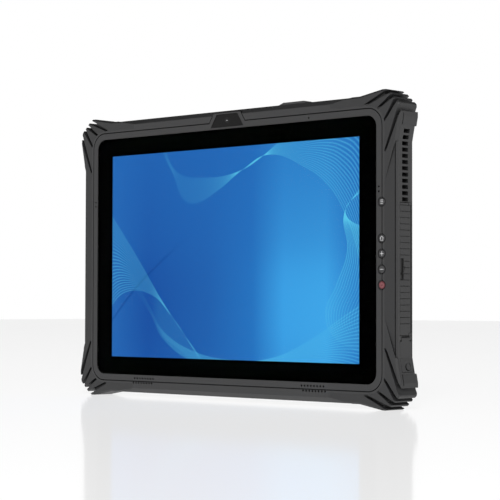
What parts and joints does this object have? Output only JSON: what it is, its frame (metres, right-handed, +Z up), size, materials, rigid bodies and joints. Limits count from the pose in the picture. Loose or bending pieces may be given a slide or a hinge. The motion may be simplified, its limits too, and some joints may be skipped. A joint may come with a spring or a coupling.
{
  "type": "rugged data collector",
  "caption": "Rugged handheld data collector with a large landscape touch screen, finned corner bumpers, front keys, side vents, hinged port covers and a latched rear battery.",
  "frame": {"origin": "middle of the base, on the surface that the lower corner bumpers stand on", "axes": "+X to the right seen from the screen side, +Y from the screen to the back, +Z up"},
  "size_m": [0.3394, 0.026, 0.229],
  "materials": {
    "glass": "polished cover glass, clear over the display",
    "black_ink": "black printed border behind the glass",
    "screen": null,
    "gasket_foam": "closed cell foam",
    "bezel_plastic": "fine textured dark grey plastic",
    "window_plastic": "black gloss",
    "camera_module": "dark camera module",
    "guard_plastic": "fine textured dark grey plastic",
    "grip_rubber": "soft touch moulded rubber",
    "bumper_rubber": "satin moulded elastomer",
    "housing_plastic": "fine textured dark grey plastic",
    "scan_glass": "dark red filter window",
    "camera_ring": "dark anodised ring",
    "lens_glass": "coated lens",
    "flash_lens": "frosted flash lens",
    "battery_plastic": "fine textured dark grey plastic",
    "gold_contact": "gold plated",
    "latch_plastic": "ribbed plastic slider",
    "brass_insert": "machined",
    "screw_steel": "black zinc plated",
    "connector_plastic": "black connector body",
    "connector_shell": "nickel plated shell",
    "door_rubber": "ribbed moulded cover",
    "pin_steel": "ground pin",
    "cover_plastic": "ribbed cover plate",
    "chassis_metal": "die cast magnesium alloy frame",
    "circuit_board": "green solder mask",
    "fin_metal": "folded fins",
    "pipe_copper": "flattened copper heat pipe",
    "fan_plastic": "glass filled plastic",
    "key_rubber": "silicone key with a light legend",
    "power_key_rubber": "muted red silicone key",
    "speaker_box": "sealed speaker box",
    "antenna_film": "flexible antenna film"
  },
  "bodies": {
    "tablet": {"antenna_left": "antenna_film", "antenna_right": "antenna_film", "audio_jack": "connector_plastic", "battery_contacts": "gold_contact", "battery_pack": "battery_plastic", "bottom_rail": "guard_plastic", "camera_flash": "flash_lens", "camera_plinth": "window_plastic", "camera_window": "window_plastic", "chassis": "chassis_metal", "corner_bumper_bottom_left": "bumper_rubber", "corner_bumper_bottom_right": "bumper_rubber", "corner_bumper_top_left": "bumper_rubber", "corner_bumper_top_right": "bumper_rubber", "cover_glass": "glass", "dock_connector": "connector_plastic", "dock_contacts": "gold_contact", "expansion_cover": "cover_plastic", "fan_housing": "fan_plastic", "front_bezel": "bezel_plastic", "front_camera": "camera_module", "glass_border": "black_ink", "glass_gasket": "gasket_foam", "guard_ring": "guard_plastic", "hdmi_port": "connector_shell", "heat_pipe": "pipe_copper", "heat_sink": "fin_metal", "housing_screws": "screw_steel", "io_board": "circuit_board", "key_board": "circuit_board", "lcd_panel": "screen", "mainboard": "circuit_board", "port_door_pin": "pin_steel", "power_flap_pin": "pin_steel", "power_jack": "connector_plastic", "rear_camera_barrel": "camera_ring", "rear_camera_lens": "lens_glass", "rear_housing": "housing_plastic", "scan_engine": "camera_module", "scanner_hood": "guard_plastic", "scanner_window": "scan_glass", "side_grip_left": "grip_rubber", "side_grip_right": "grip_rubber", "speaker_left": "speaker_box", "speaker_right": "speaker_box", "threaded_inserts": "brass_insert", "top_rail": "guard_plastic", "usb_c_port": "connector_shell", "usb_port": "connector_shell"},
    "key_function": {"key_function": "key_rubber"},
    "key_home": {"key_home": "key_rubber"},
    "key_plus": {"key_plus": "key_rubber"},
    "key_minus": {"key_minus": "key_rubber"},
    "key_power": {"key_power": "power_key_rubber"},
    "battery_latch_left": {"battery_latch_left": "latch_plastic"},
    "battery_latch_right": {"battery_latch_right": "latch_plastic"},
    "port_door": {"port_door": "door_rubber"},
    "power_flap": {"power_flap": "door_rubber"},
    "fan_rotor": {"fan_rotor": "fan_plastic"}
  },
  "joints": [
    {"name": "key_function_press", "type": "slide", "parent": "tablet", "child": "key_function", "axis": [0, 1, 0], "range_m": [0, 0.00045], "stiffness_N_per_m": 800, "springref_m": -0.0004},
    {"name": "key_home_press", "type": "slide", "parent": "tablet", "child": "key_home", "axis": [0, 1, 0], "range_m": [0, 0.00045], "stiffness_N_per_m": 800, "springref_m": -0.0004},
    {"name": "key_plus_press", "type": "slide", "parent": "tablet", "child": "key_plus", "axis": [0, 1, 0], "range_m": [0, 0.00045], "stiffness_N_per_m": 800, "springref_m": -0.0004},
    {"name": "key_minus_press", "type": "slide", "parent": "tablet", "child": "key_minus", "axis": [0, 1, 0], "range_m": [0, 0.00045], "stiffness_N_per_m": 800, "springref_m": -0.0004},
    {"name": "key_power_press", "type": "slide", "parent": "tablet", "child": "key_power", "axis": [0, 1, 0], "range_m": [0, 0.00045], "stiffness_N_per_m": 800, "springref_m": -0.0004},
    {"name": "battery_latch_left_slide", "type": "slide", "parent": "tablet", "child": "battery_latch_left", "axis": [0, 0, 1], "range_m": [0, 0.004]},
    {"name": "battery_latch_right_slide", "type": "slide", "parent": "tablet", "child": "battery_latch_right", "axis": [0, 0, 1], "range_m": [0, 0.004]},
    {"name": "port_door_hinge", "type": "hinge", "parent": "tablet", "child": "port_door", "pos_m": [0.1648, 0.0034, 0.10054], "axis": [0, 0, 1], "range_deg": [0, 92]},
    {"name": "power_flap_hinge", "type": "hinge", "parent": "tablet", "child": "power_flap", "pos_m": [0.1648, -0.0019, 0.0511], "axis": [0, -1, 0], "range_deg": [0, 86]},
    {"name": "fan_spin", "type": "hinge", "parent": "tablet", "child": "fan_rotor", "pos_m": [0.1236, -0.003, 0.17453], "axis": [0, 1, 0], "continuous": true}
  ]
}
